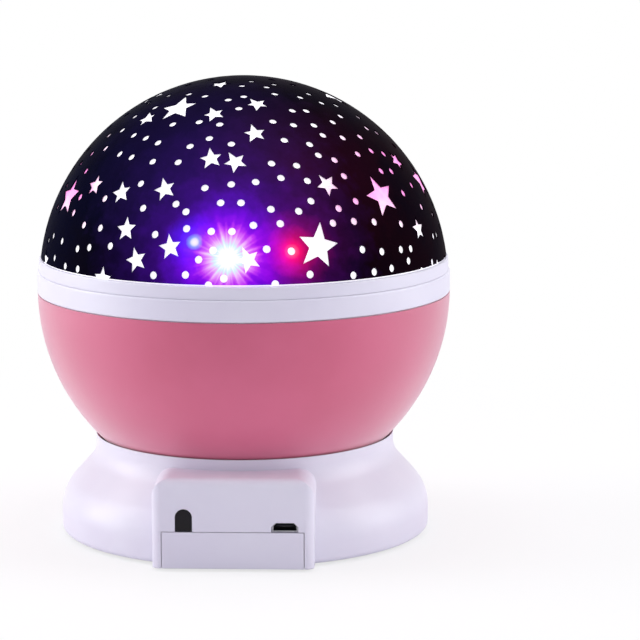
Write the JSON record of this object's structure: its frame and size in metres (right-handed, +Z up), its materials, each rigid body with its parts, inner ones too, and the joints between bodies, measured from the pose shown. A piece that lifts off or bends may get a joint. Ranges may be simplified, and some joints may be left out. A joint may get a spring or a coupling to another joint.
{
  "type": "star night light projector",
  "caption": "Globe night light on a flared pedestal: a turning bowl and a dark star-printed dome that lifts off over coloured lamps.",
  "frame": {"origin": "on the floor under the globe's turning axis, at the bottom of the rubber feet", "axes": "+Z up along the globe's turning axis; -Y towards the socket box, the side with the window and the port; +X to the right seen from there"},
  "size_m": [0.1248, 0.1248, 0.1384],
  "materials": {
    "pearl_abs": "glossy moulded ABS, lavender white",
    "reflector_abs": "smooth white reflector",
    "key_abs": "glossy moulded push button",
    "pink_abs": "satin gloss moulded ABS, rose pink",
    "dark_print": "dark print with clear stars and dots",
    "clear_dome": "clear moulded dome",
    "screw_steel": "zinc plated",
    "socket_steel": "nickel plated socket shell",
    "contact_steel": "nickel plated spring contacts",
    "foot_rubber": "soft rubber",
    "circuit_board": "solder resist on glass fibre board",
    "lamp_board_white": "white solder resist",
    "window_acrylic": "smoked acrylic",
    "receiver_epoxy": "moulded epoxy",
    "switch_plastic": "moulded switch body",
    "cell_sleeve": "printed battery sleeve, plain",
    "speaker_steel": "pressed steel basket",
    "magnet_ferrite": "magnet cup",
    "speaker_paper": "pressed paper cone",
    "motor_can": "zinc plated motor can",
    "gear_nylon": "natural nylon",
    "hub_acetal": "white acetal",
    "post_abs": "white tube",
    "lamp_white": "clear epoxy lens, lit white",
    "lamp_red": "clear epoxy lens, lit red",
    "lamp_green": "clear epoxy lens, green, unlit",
    "lamp_blue": "clear epoxy lens, lit blue"
  },
  "bodies": {
    "base": {"base_shell": "pearl_abs", "base_plate": "pearl_abs", "base_screws": "screw_steel", "rubber_feet": "foot_rubber", "main_board": "circuit_board", "board_screws": "screw_steel", "usb_socket": "socket_steel", "ir_window": "window_acrylic", "ir_receiver": "receiver_epoxy", "button_board": "circuit_board", "tact_switches": "switch_plastic", "battery_cells": "cell_sleeve", "battery_contacts": "contact_steel", "speaker_frame": "speaker_steel", "speaker_cone": "speaker_paper", "speaker_magnet": "magnet_ferrite", "gear_motor": "motor_can", "motor_screws": "screw_steel", "lamp_post": "post_abs", "board_seat": "pearl_abs", "lamp_board": "lamp_board_white", "lamp_board_screws": "screw_steel", "lamp_white": "lamp_white", "lamp_red": "lamp_red", "lamp_green": "lamp_green", "lamp_blue": "lamp_blue", "thrust_washer": "gear_nylon"},
    "door": {"battery_door": "pearl_abs", "battery_door_screw": "screw_steel"},
    "left_key": {"button_left": "key_abs"},
    "middle_key": {"button_middle": "key_abs"},
    "right_key": {"button_right": "key_abs"},
    "globe": {"turntable_hub": "hub_acetal", "hub_screws": "screw_steel", "drive_gear": "gear_nylon", "hub_clip": "screw_steel", "globe_bowl": "pink_abs", "globe_collar": "pearl_abs", "light_deck": "reflector_abs", "deck_screws": "screw_steel"},
    "pinion": {"motor_shaft": "screw_steel", "motor_pinion": "gear_nylon"},
    "star_cover": {"dome_bezel": "pearl_abs", "dome_shell": "clear_dome", "star_film": "dark_print"}
  },
  "joints": [
    {"name": "globe_spin", "type": "hinge", "parent": "base", "child": "globe", "pos_m": [0, 0, 0], "axis": [0, 0, 1], "continuous": true},
    {"name": "pinion_spin", "type": "hinge", "parent": "base", "child": "pinion", "pos_m": [-0.02255, -0.00821, 0], "axis": [0, 0, 1], "continuous": true},
    {"name": "dome_lift", "type": "slide", "parent": "globe", "child": "star_cover", "axis": [0, 0, 1], "range_m": [0, 0.06]},
    {"name": "left_key_press", "type": "slide", "parent": "base", "child": "left_key", "axis": [0, -1, 0], "range_m": [0, 0.0008], "stiffness_N_per_m": 900, "springref_m": -0.0003},
    {"name": "middle_key_press", "type": "slide", "parent": "base", "child": "middle_key", "axis": [0, -1, 0], "range_m": [0, 0.0008], "stiffness_N_per_m": 900, "springref_m": -0.0003},
    {"name": "right_key_press", "type": "slide", "parent": "base", "child": "right_key", "axis": [0, -1, 0], "range_m": [0, 0.0008], "stiffness_N_per_m": 900, "springref_m": -0.0003},
    {"name": "door_hinge", "type": "hinge", "parent": "base", "child": "door", "pos_m": [-0.0253, 0, 0.0016], "axis": [0, 1, 0], "range_deg": [0, 95]}
  ],
  "couplings": [
    {"joint": "pinion_spin", "follows": "globe_spin", "ratio": -2.75}
  ]
}
